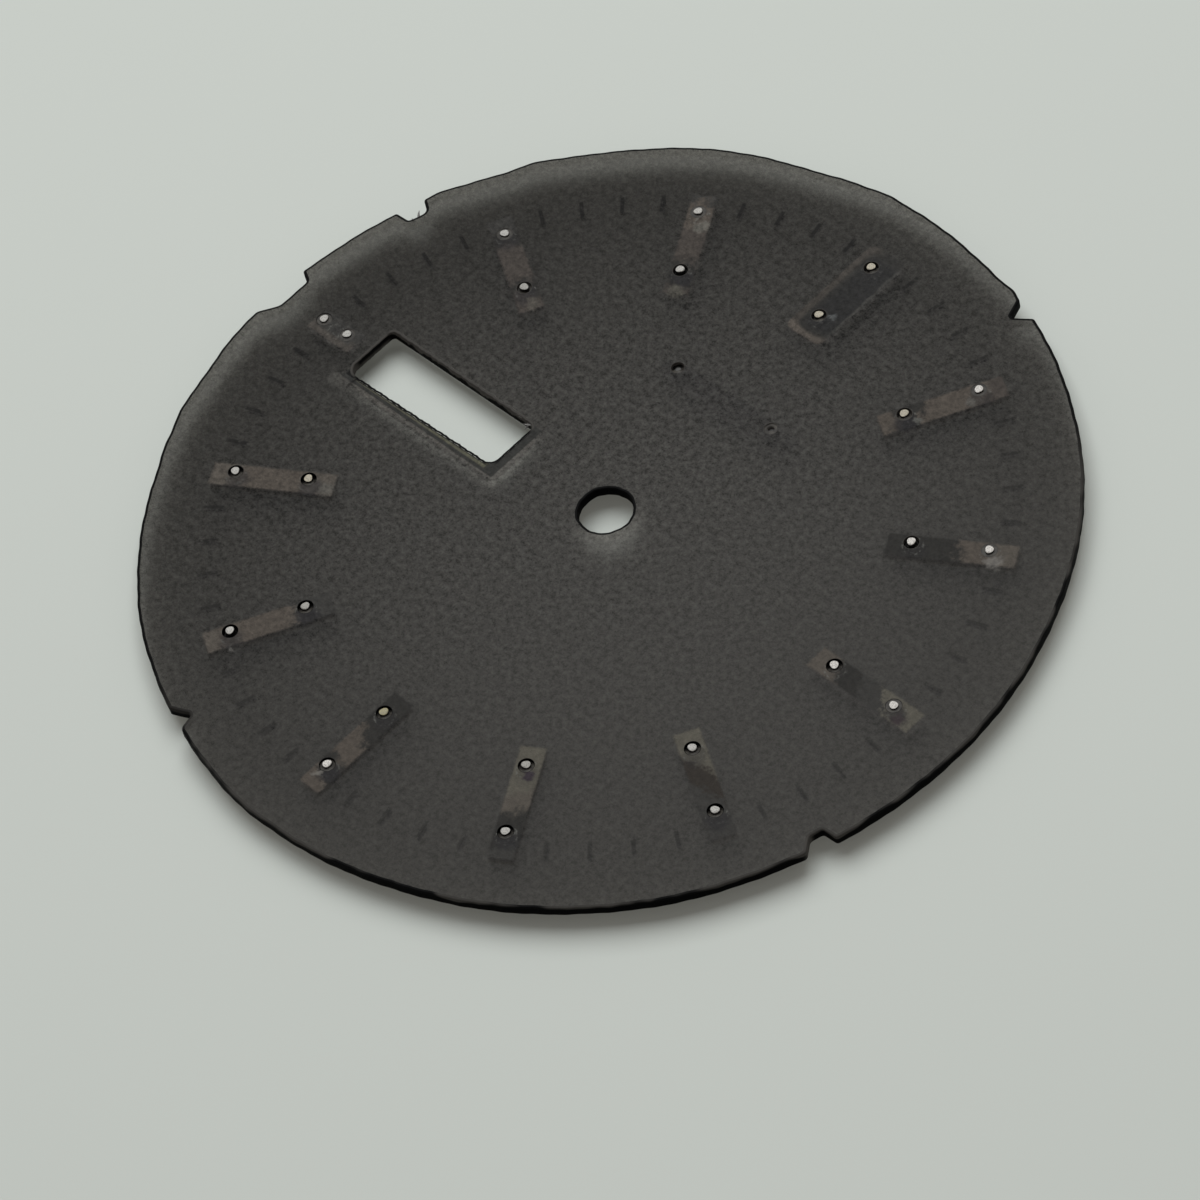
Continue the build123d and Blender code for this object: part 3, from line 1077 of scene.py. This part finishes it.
@dataclass
class DialPlate:
    """The smoked plate with its rim cuts, window, hand bore and peg holes."""

    radius: float = 14.5
    rim_lip: Pair = (0.055, 0.042)
    cuts: tuple[RimCut, ...] = (
        RimCut(70, (0.48, 0.50), (0.36, 0.30), 0.52, (0.11, 0.2, 0.12, 0.11)),
        RimCut(90, (0.97, 1.10), (0.76, 0.44), 0.43, (0.11, 0.16, 0.4, 0.3)),
        RimCut(160, (0.42, 0.46), (-0.06, 0.18), 0.46, (0.11, 0.06, 0.06, 0.26)),
        RimCut(250, (0.48, 0.50), (0.14, 0.30), 0.49, (0.15, 0.2, 0.12, 0.12)),
        RimCut(340, (0.50, 0.38), (0.11, -0.02), 0.52, (0.11, 0.05, 0.05, 0.12)),
    )
    window_corners: tuple[Pair, ...] = (
        (-10.39, -1.0), (-4.09, -0.89), (-4.09, 1.0), (-10.39, 1.0),
    )
    window_radii: Quad = (0.38, 0.3, 0.15, 0.15)
    window_lip: Pair = (0.045, 0.04)
    bore_radius: float = 0.85
    bore_lip: Pair = (0.045, 0.045)
    peg_hole_radius: float = 0.24
    badge_hole_radius: float = 0.21
    peg_hole_lip: Pair = (0.012, 0.006)
    front_flat: float = 0.006
    hole_sides: int = 40
    bore_sides: int = 120
    # Flats and swells left by hand trimming: clock angle, half width in degrees, offset of the rim.
    trim: tuple[Triple, ...] = (
        (6, 2.5, 0.05), (17, 5, -0.08), (32, 7, 0.07), (53, 3, 0.08), (58, 3, -0.05), (66, 2.5, 0.08),
        (86, 1.5, 0.04), (98, 5, 0.07), (111, 3, 0.08), (117, 2, 0.04), (122, 6, -0.04), (144, 6, 0.04),
        (175, 5, 0.05), (200, 9, -0.04), (232, 7, 0.04), (290, 9, -0.03), (325, 7, -0.03),
        (343.5, 1.5, 0.07), (349, 8, -0.08),
    )

    def cut(self, cut: RimCut) -> np.ndarray:
        """Outline of a cut in the rim, counter-clockwise from one side of its mouth to the other."""
        bed = self.radius - cut.depth
        right, left = cut.mouth
        across = (right + RUN_IN, right, cut.floor[0], -cut.floor[1], -left, -left - RUN_IN)
        outward = [math.sqrt(self.radius**2 - x**2) for x in across]
        outward[2:4] = [bed, bed]
        return clock_turn(rounded(list(zip(across, outward)), cut.radii, closed=False), cut.angle)

    def rim(self) -> np.ndarray:
        """Rim outline, counter-clockwise: arcs between the cuts, moved in and out by the trim.

        The offset at clock angle a is the sum of o exp(-((a - c) / w) ** 2) over the trim, plus two
        fine ripples of the cutter.
        """
        pieces = []
        for number, cut in enumerate(self.cuts):
            following = self.cuts[(number + 1) % len(self.cuts)]
            leave = cut.angle + math.degrees(math.asin((cut.mouth[1] + RUN_IN) / self.radius))
            reach = following.angle - math.degrees(math.asin((following.mouth[0] + RUN_IN) / self.radius))
            reach += 360 if reach < leave else 0
            count = int((reach - leave) / 0.3)
            turn = np.radians(np.linspace(leave, reach, count + 2)[1:-1])
            pieces.append(self.cut(cut))
            pieces.append(self.radius * np.stack([-np.sin(turn), np.cos(turn)], 1))
        outline = split_sides(np.concatenate(pieces), 0.1)
        reach = np.linalg.norm(outline, axis=1)
        angle = np.degrees(np.arctan2(-outline[:, 0], outline[:, 1]))
        place, width, offset = np.array(self.trim).T
        apart = (angle[:, None] - place + 180) % 360 - 180
        wander = (offset * np.exp(-((apart / width) ** 2))).sum(1)
        turn = np.radians(angle)
        wander += 0.007 * np.sin(61 * turn + 1.0) + 0.005 * np.sin(143 * turn)
        return outline * (1 + wander / reach)[:, None]

    def window(self) -> np.ndarray:
        """Window outline moved by (w / 2, w), with w three sines of s = x + 1.7 y, as the cutter left it."""
        outline = split_sides(rounded(self.window_corners, self.window_radii, closed=True), 0.06)
        s = outline[:, 0] + 1.7 * outline[:, 1]
        wave = 0.008 * np.sin(9.0 * s + 2.0) + 0.008 * np.sin(23.0 * s) + 0.005 * np.sin(41.0 * s)
        return outline + wave[:, None] * np.array([0.5, 1.0])

    def bore(self) -> np.ndarray:
        """Bore outline, a circle broadened into uneven flats by three sines of the angle."""
        outline = circle((0, 0), self.bore_radius, self.bore_sides)
        t = np.arctan2(outline[:, 1], outline[:, 0])
        wave = 0.008 * np.sin(5 * t + 0.8) + 0.006 * np.sin(9 * t + 2.0) + 0.004 * np.sin(17 * t)
        return outline * (1 + wave / self.bore_radius)[:, None]

    def peg_places(self) -> list[tuple[int, int, np.ndarray]]:
        """Hour, number (0 inner, 1 outer) and place of each marker peg."""
        return [
            (hour, number, clock_turn(np.array([[0.0, reach]]), hour * HOUR_STEP)[0])
            for hour in HOURS
            for number, reach in enumerate(SHORT_PEG_REACH if hour == 3 else PEG_REACH)
        ]

    def wall_profile(self, lip: Pair, side: float) -> np.ndarray:
        """Edge from the back to the front face, as pairs of (growth, height).

        The lip is the radius of the rounding at both faces and the width of the black flat beside it on the
        back. The side is 1 for a hole and -1 for the rim, the way in which the plate lies.
        """
        turn, flat = lip
        corners = [(turn + flat, 0.0), (0.0, 0.0), (0.0, FRONT), (turn + self.front_flat, FRONT)]
        path = rounded(corners, (turn, turn), closed=False, steps=5)
        return path * np.array([side, 1.0])

    def build(self) -> Piece:
        """Build the plate as one closed mesh."""
        shell = Shell()
        back, lip, cut, front = range(4)
        slots = (*[lip] * 5, cut, *[lip] * 4, front)
        rim = shell.wall(swept_rings(self.rim(), self.wall_profile(self.rim_lip, -1)), slots)
        holes = [(self.window(), self.window_lip), (self.bore(), self.bore_lip)]
        small = [(place, self.peg_hole_radius) for _, _, place in self.peg_places()]
        small += [((x, BADGE_Y), self.badge_hole_radius) for x in BADGE_PEGS]
        holes += [(circle(place, radius, self.hole_sides), self.peg_hole_lip) for place, radius in small]
        walls = [
            shell.wall(swept_rings(hole, self.wall_profile(edge, 1))[:, ::-1], slots) for hole, edge in holes
        ]
        shell.cap([rim[0], *[wall[0] for wall in walls]], up=True, slot=back)
        shell.cap([rim[-1], *[wall[-1] for wall in walls]], up=False, slot=front)
        piece = shell.build("smoked_dial_plate")
        for finish in SmokedPlate().make():
            piece.data.materials.append(finish)
        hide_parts("dial_plate")
        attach(piece, "root")
        LOG.info("dial plate: %d faces", len(piece.data.polygons))
        return piece


@dataclass
class PeggedBar:
    """A metal bar on the front face, held by round pegs that come through the plate."""

    foot: float = -0.362
    height: float = 0.50
    bevel: float = 0.12
    peg_radius: float = PEG_RADIUS
    peg_top: float = 0.09
    peg_sides: int = 32
    edge_round: float = 0.015
    groove_depth: float = 0.14
    groove_round: float = 0.012
    # Height over which a tip is filed, how much is filed off, and height of the bright tip.
    filed_height: float = 0.04
    filed_off: float = 0.02
    tip_height: float = 0.045
    # Tone of the pegs below their tips, in the attribute tip: partly resin stain, partly painted shade.
    shank_stain_and_shade: float = 0.008

    def side_profile(self) -> np.ndarray:
        """Side of the bar from its foot to its face: a small break, the wall and the bevel."""
        face = FRONT - self.height
        corners = [
            (-0.05, self.foot), (0.0, self.foot), (0.0, face + self.bevel),
            (-self.bevel, face), (-self.bevel - 0.03, face),
        ]
        return rounded(corners, [self.edge_round] * 3, closed=False, steps=4)

    def peg_profile(self) -> np.ndarray:
        """Peg from the foot to its tip, as pairs of (radius, height): a shank, a round and a low dome."""
        corners = [
            (self.peg_radius + 0.05, self.foot), (self.peg_radius, self.foot),
            (self.peg_radius, self.peg_top - 0.02), (0.1 * self.peg_radius, self.peg_top),
        ]
        path = rounded(corners, (0.02, 0.05), closed=False, steps=6)
        top = self.peg_top
        dome = np.array([[0.6 * self.peg_radius, top - 0.009], [0.3 * self.peg_radius, top - 0.003]])
        return np.concatenate([path[:-1], dome, path[-1:]])

    def peg_rings(self, place: Pair, angle: float) -> np.ndarray:
        """Rings of one hand-filed peg, clockwise when seen from above.

        At the angle t round the peg its radius is scaled by 1 + 0.06 cos(2 t + p) + 0.05 cos(3 t - 2 p),
        with a phase p of its own, and its top is filed 0.02 mm lower and at a slant of one in eight towards
        the phase.

        Args:
            place: Centre of the peg.
            angle: Clock angle of the bar.

        Returns:
            Rings of shape (rows, peg_sides, 3) from the foot to the tip.
        """
        rings = turned_rings(place, self.peg_profile(), self.peg_sides)
        offset = rings[..., :2] - np.array(place)
        t = np.arctan2(offset[..., 1], offset[..., 0])
        phase = 5.0 * place[1] + 0.7 * angle
        scale = 1 + 0.06 * np.cos(2 * t + phase) + 0.05 * np.cos(3 * t - 2 * phase)
        offset *= scale[..., None]
        filed = np.clip((rings[..., 2] - self.peg_top + self.filed_height) / self.filed_height, 0, 1)
        slant = offset @ np.array([math.cos(phase), math.sin(phase)]) / 8
        rings[..., 2] += filed * (slant - self.filed_off)
        rings[..., :2] = offset + np.array(place)
        return rings

    def build(
        self,
        name: str,
        angle: float,
        outline: Callable[[float], np.ndarray],
        pegs: Sequence[Pair],
        tips: Sequence[Tip] = (),
        grooves: Sequence[np.ndarray] = (),
    ) -> Piece:
        """Build a bar drawn at twelve o'clock and turn it to its clock angle.

        Args:
            name: Name of the piece.
            angle: Clock angle.
            outline: Gives the foot's closed outline, grown by a distance.
            pegs: Places of the pegs.
            tips: Colour of each peg's tip.
            grooves: Outlines of the grooves in the face.

        Returns:
            The bar as one closed mesh, with its drawn place in the attribute lay and its tips' colours
            in the attribute tip.
        """
        shell = Shell()
        side = shell.wall(drawn_rings(outline, self.side_profile()))
        feet, mouths, shanks = [], [], []
        for place in pegs:
            index = shell.wall(self.peg_rings(place, angle))
            shell.cap([index[-1]], up=True)
            feet.append(index[0])
            shanks.append(index)
        face = FRONT - self.height
        for groove in grooves:
            corners = [(0.04, face), (0.0, face), (0.0, face + self.groove_depth)]
            profile = rounded(corners, [self.groove_round], closed=False, steps=4)
            index = shell.wall(swept_rings(groove, profile))
            shell.cap([index[-1]], up=False)
            mouths.append(index[0])
        shell.cap([side[0], *feet], up=True)
        shell.cap([side[-1], *mouths], up=False)
        tone = np.zeros((len(shell.points), 3))
        top = self.peg_profile()[:, 1:] > self.peg_top - self.tip_height
        for index, tip in zip(shanks, tips):
            rows = np.where(top, shade(*tip.value)[:3], self.shank_stain_and_shade)
            tone[index.ravel()] = np.repeat(rows, self.peg_sides, 0)
        lay = shell.points.copy()
        shell.points[:, :2] = clock_turn(shell.points[:, :2], angle)
        return shell.build(name, lay=lay, tip=tone)


@dataclass
class HourMarkers:
    """Twelve bevelled baton markers with luminous grooves; the one at twelve is double."""

    groove_width: float = 0.30
    groove_pitch: float = 0.60
    groove_corner: float = 0.01
    end_wall: float = 0.35
    corner: float = 0.02

    def tips(self, hour: int) -> tuple[Tip, Tip]:
        """Colour of the inner and the outer peg tip of an hour."""
        tones = {
            2: (Tip.DULL, Tip.PLAIN), 4: (Tip.WARM, Tip.PLAIN), 5: (Tip.DULL, Tip.PLAIN),
            6: (Tip.BRASSY, Tip.BRIGHT), 7: (Tip.DULL, Tip.PLAIN), 9: (Tip.BRIGHT, Tip.BRIGHT),
            10: (Tip.BRIGHT, Tip.BRIGHT), 11: (Tip.WARM, Tip.BRIGHT), 12: (Tip.WARM, Tip.WARM),
        }
        return tones.get(hour, (Tip.PLAIN, Tip.PLAIN))

    def box(self, half: float, low: float, high: float, centre: float, corner: float) -> np.ndarray:
        """Rounded rectangle from low to high outward, half a width to each side of a centre line."""
        corners = [(centre - half, low), (centre + half, low), (centre + half, high), (centre - half, high)]
        return rounded(corners, [corner] * 4, closed=True, steps=6)

    def build(self) -> list[Piece]:
        """Build all twelve markers."""
        finish = MarkerMetal().make()
        bar = PeggedBar()
        pieces = []
        for hour in HOURS:
            low, high = SHORT_ENDS if hour == 3 else MARKER_ENDS
            pegs = [(0.0, reach) for reach in (SHORT_PEG_REACH if hour == 3 else PEG_REACH)]
            half = (DOUBLE_WIDTH if hour == 12 else MARKER_WIDTH) / 2
            lines = (-self.groove_pitch / 2, self.groove_pitch / 2) if hour == 12 else (0.0,)
            ends = (low + self.end_wall, high - self.end_wall)
            grooves = [self.box(self.groove_width / 2, *ends, line, self.groove_corner) for line in lines]
            piece = bar.build(
                f"baton_marker_{hour:02d}",
                hour * HOUR_STEP,
                lambda growth: self.box(half + growth, low - growth, high + growth, 0.0, self.corner),
                pegs,
                self.tips(hour),
                grooves,
            )
            piece.data.materials.append(finish)
            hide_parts(f"hour_marker_{hour:02d}")
            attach(piece, "root")
            pieces.append(piece)
        LOG.info("hour markers: %d", len(pieces))
        return pieces


@dataclass
class BadgeBar:
    """Plain round-ended bar below twelve o'clock, its two pegs ending inside their holes."""

    length: float = 5.60
    width: float = 0.80

    def outline(self, growth: float) -> np.ndarray:
        """Stadium grown by a distance: a rectangle whose four corners have half its width as radius."""
        x, half = self.length / 2 + growth, self.width / 2 + growth
        corners = [(-x, BADGE_Y - half), (x, BADGE_Y - half), (x, BADGE_Y + half), (-x, BADGE_Y + half)]
        return rounded(corners, [half * 0.999] * 4, closed=True, steps=14)

    def build(self) -> Piece:
        """Build the bar."""
        bar = PeggedBar(height=0.30, bevel=0.08, peg_radius=BADGE_PEG_RADIUS, peg_top=-0.10)
        pegs = [(x, BADGE_Y) for x in BADGE_PEGS]
        piece = bar.build("plain_badge_bar", 0, self.outline, pegs)
        piece.data.materials.append(PolishedMetal("badge_metal_finish", shade(30, 28, 27)).make())
        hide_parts("badge_bar")
        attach(piece, "root")
        LOG.info("badge bar: %d faces", len(piece.data.polygons))
        return piece


@dataclass
class PegAdhesive:
    """Resin between each peg and its hole, low on the far side of most and level with the back in a few."""

    far_side: float = 146.0
    # Depth on the far side of the inner and the outer peg of each hour, from one to twelve.
    depths: tuple[Pair, ...] = (
        (0.22, 0.012), (0.13, 0.03), (0.03, 0.03), (0.24, 0.22), (0.22, 0.24), (0.2, 0.11),
        (0.18, 0.2), (0.2, 0.2), (0.22, 0.012), (0.2, 0.012), (0.2, 0.02), (0.24, 0.24),
    )
    badge_depths: Pair = (0.2, 0.04)
    # Hour and number of the pegs whose resin is nearly as deep all round.
    level_pegs: tuple[tuple[int, int], ...] = ((1, 0), (2, 0), (5, 1), (10, 0))
    # Depth on the near side as a share of the depth on the far side.
    near_share: float = 0.06
    level_share: float = 0.8
    badge_share: float = 0.1
    most_lift: float = 0.05
    overlap: float = 0.024
    bottom: float = -0.357
    sides: int = 40

    def ring(
        self, shell: Shell, place: Sequence[float], peg: float, hole: float, depth: float, near: float,
    ) -> None:
        """Add one closed ring whose top is a slanting meniscus.

        With s from -1 at the peg to 1 at the hole and t the angle round the peg, the top height is
        (lift s ** 2 - depth) times a factor that runs from near, on the near side, up to 1 on the far
        side as (1 + cos(t - far)) / 2 does.

        Args:
            shell: Mesh to add to.
            place: Centre of the hole.
            peg: Radius of the peg.
            hole: Radius of the hole.
            depth: Depth of the top's middle below the back face, on the far side.
            near: Share of that depth on the near side.
        """
        s = np.linspace(-1, 1, 9)
        lift = min(self.most_lift, depth * 0.7)
        reach = (peg + hole) / 2 + s * (hole - peg + self.overlap) / 2
        top = np.stack([reach, lift * s**2 - depth], 1)[::-1]
        bottom = np.array([[reach[0], self.bottom], [reach[-1], self.bottom]])
        rings = turned_rings(place, np.concatenate([top, bottom]), self.sides)
        offset = rings[0, :, :2] - np.asarray(place)
        round_peg = np.arctan2(offset[:, 1], offset[:, 0]) - math.radians(self.far_side)
        rings[: len(top), :, 2] *= near + (1 - near) * (1 + np.cos(round_peg)) / 2
        index = shell.wall(rings)
        beside = np.roll(index, -1, 1)
        shell.add_faces(np.stack([index[-1], index[0], beside[0], beside[-1]], -1))

    def build(self, plate: DialPlate) -> Piece:
        """Build every ring as one piece, round the pegs that the plate places."""
        shell = Shell()
        for hour, number, place in plate.peg_places():
            near = self.level_share if (hour, number) in self.level_pegs else self.near_share
            self.ring(shell, place, PEG_RADIUS, plate.peg_hole_radius, self.depths[hour - 1][number], near)
        for x, depth in zip(BADGE_PEGS, self.badge_depths):
            near = self.badge_share
            self.ring(shell, (x, BADGE_Y), BADGE_PEG_RADIUS, plate.badge_hole_radius, depth, near)
        piece = shell.build("peg_resin")
        piece.data.materials.append(CuredAdhesive().make())
        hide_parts("peg_adhesive")
        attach(piece, "root")
        LOG.info("adhesive rings: %d faces", len(piece.data.polygons))
        return piece


@dataclass(frozen=True)
class Sliver:
    """One torn sliver: its root, how it leans and its sizes."""

    root: Triple
    lean: Triple
    length: float
    width: float
    thickness: float


@dataclass
class CutterBurrs:
    """Slivers that the cutter left at the window's corner and in the cut at 70 degrees."""

    slivers: tuple[Sliver, ...] = (
        Sliver((-4.18, 1.05, -0.06), (-0.6, -0.8, 0.1), 0.32, 0.10, 0.035),
        Sliver((-4.36, 1.03, -0.10), (0.45, -0.8, -0.1), 0.26, 0.10, 0.035),
        Sliver((-4.62, 1.04, -0.05), (-0.9, -0.35, 0.05), 0.30, 0.06, 0.03),
        Sliver((-13.08, 4.80, -0.05), (-0.75, 0.45, 0.12), 0.28, 0.10, 0.035),
        Sliver((-13.13, 4.62, -0.12), (-0.9, 0.1, -0.1), 0.22, 0.08, 0.03),
    )
    rows: int = 10
    sides: int = 10

    def add(self, shell: Shell, sliver: Sliver) -> None:
        """Add one sliver to the shell.

        With u from 0 at the root to 0.98 at the tip, its middle line is root + length (u lean + 0.3 u ** 2
        side), and its cross-section is an ellipse that narrows by sqrt(1 - u).
        """
        lean = np.array(sliver.lean) / np.linalg.norm(sliver.lean)
        side = np.cross(lean, (0.0, 0.0, 1.0))
        side /= np.linalg.norm(side)
        rise = np.cross(side, lean)
        u = np.linspace(0, 0.98, self.rows)[:, None]
        middle = np.array(sliver.root) + sliver.length * (u * lean + 0.3 * u**2 * side)
        t = -np.arange(self.sides) * (2 * math.pi / self.sides)
        narrow = np.sqrt(1 - u)[:, None]
        ring = sliver.width / 2 * np.cos(t)[:, None] * side + sliver.thickness / 2 * np.sin(t)[:, None] * rise
        index = shell.wall(middle[:, None] + narrow * ring[None])
        shell.add_faces(index[:1])
        shell.add_faces(index[-1:, ::-1])

    def build(self) -> Piece:
        """Build all slivers as one piece."""
        shell = Shell()
        for sliver in self.slivers:
            self.add(shell, sliver)
        piece = shell.build("cutter_burrs")
        piece.data.materials.append(TornPlastic().make())
        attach(piece, "root")
        LOG.info("burrs: %d", len(self.slivers))
        return piece


def dress_nodes(nodes: Sequence[str], finish: Material) -> None:
    """Give carried-over CAD nodes one finish in all of their slots."""
    for name in nodes:
        piece = bpy.data.objects[name]
        if not piece.material_slots:
            piece.data.materials.append(finish)
        for slot in piece.material_slots:
            slot.material = finish
    LOG.info("dressed %s", ", ".join(nodes[:2]))


@dataclass
class Studio:
    """Pale floor, one soft lamp behind the dial, even sky light and the photograph's camera."""

    floor_half: float = 700.0
    target: Triple = (2.257, -2.551, 0.0)
    distance: float = 174.123
    azimuth: float = 56.126
    elevation: float = 51.752
    roll: float = -14.843
    lens: float = 174.48
    lamp_clock: float = 52.0
    lamp_elevation: float = 62.0
    lamp_distance: float = 300.0
    lamp_size: float = 300.0
    lamp_power: float = 0.9
    lamp_colour: Triple = (0.975, 1.0, 1.005)
    sky: Colour = (1.0, 0.935, 0.895, 1.0)
    sky_strength: float = 0.24

    def floor(self) -> None:
        """Square floor that the markers' faces rest on, its corners at (x, y) with x and y each +-half."""
        side = np.array([-1.0, 1.0]) * self.floor_half
        x, y = np.meshgrid(side, side)
        shell = Shell()
        shell.points = np.stack([x.ravel(), y.ravel(), np.full(4, FLOOR)], 1)
        shell.add_faces(np.array([[0, 1, 3, 2]]))
        piece = shell.build("table_top")
        piece.data.materials.append(PaleFloor().make())

    def lamp(self) -> None:
        """Square soft lamp aimed at the dial from behind it."""
        turn, rise = math.radians(self.lamp_clock), math.radians(self.lamp_elevation)
        way = Vector((-math.sin(turn) * math.cos(rise), math.cos(turn) * math.cos(rise), math.sin(rise)))
        light = bpy.data.lights.new("window_light", "AREA")
        light.shape = "SQUARE"
        light.size = self.lamp_size * MM
        light.energy = self.lamp_power
        light.color = self.lamp_colour
        lamp = bpy.data.objects.new("window_light", light)
        lamp.location = way * (self.lamp_distance * MM)
        lamp.rotation_euler = way.to_track_quat("Z", "Y").to_euler()
        bpy.context.scene.collection.objects.link(lamp)

    def sky_light(self) -> None:
        """Even pale light from all round."""
        world = bpy.data.worlds.new("studio_sky")
        world.use_nodes = True
        background = world.node_tree.nodes["Background"]
        background.inputs["Color"].default_value = self.sky
        background.inputs["Strength"].default_value = self.sky_strength
        bpy.context.scene.world = world

    def camera(self) -> None:
        """Camera at the photograph's place: it looks along -back and is rolled about that line."""
        turn, rise = math.radians(self.azimuth), math.radians(self.elevation)
        back = Vector((math.sin(turn) * math.cos(rise), -math.cos(turn) * math.cos(rise), math.sin(rise)))
        data = bpy.data.cameras.new("photo_camera")
        data.lens = self.lens
        data.sensor_width = 36
        data.clip_start = 0.005
        data.clip_end = 10
        camera = bpy.data.objects.new("photo_camera", data)
        place = (Vector(self.target) + back * self.distance) * MM
        level = (-back).to_track_quat("-Z", "Y").to_matrix().to_4x4()
        roll = Matrix.Rotation(math.radians(self.roll), 4, "Z")
        camera.matrix_world = Matrix.Translation(place) @ level @ roll
        bpy.context.scene.collection.objects.link(camera)
        bpy.context.scene.camera = camera

    def build(self) -> None:
        """Set up the whole studio."""
        self.camera()
        self.floor()
        self.lamp()
        self.sky_light()
        bpy.context.scene.view_settings.view_transform = "Standard"
        LOG.info("studio ready")


def main() -> None:
    """Build the studio and then the dial's parts in order."""
    logging.basicConfig(level=logging.INFO)
    Studio().build()
    plate = DialPlate()
    plate.build()
    HourMarkers().build()
    BadgeBar().build()
    PegAdhesive().build(plate)
    CutterBurrs().build()
    dress_nodes(["window_frame"], PolishedMetal("frame_metal_finish", shade(112, 110, 106)).make())
    dress_nodes([f"luminous_filling_{hour:02d}" for hour in HOURS], LuminousPaint().make())
    dress_nodes(["minute_track"], WhitePrint().make())


if __name__ == "__main__":
    main()
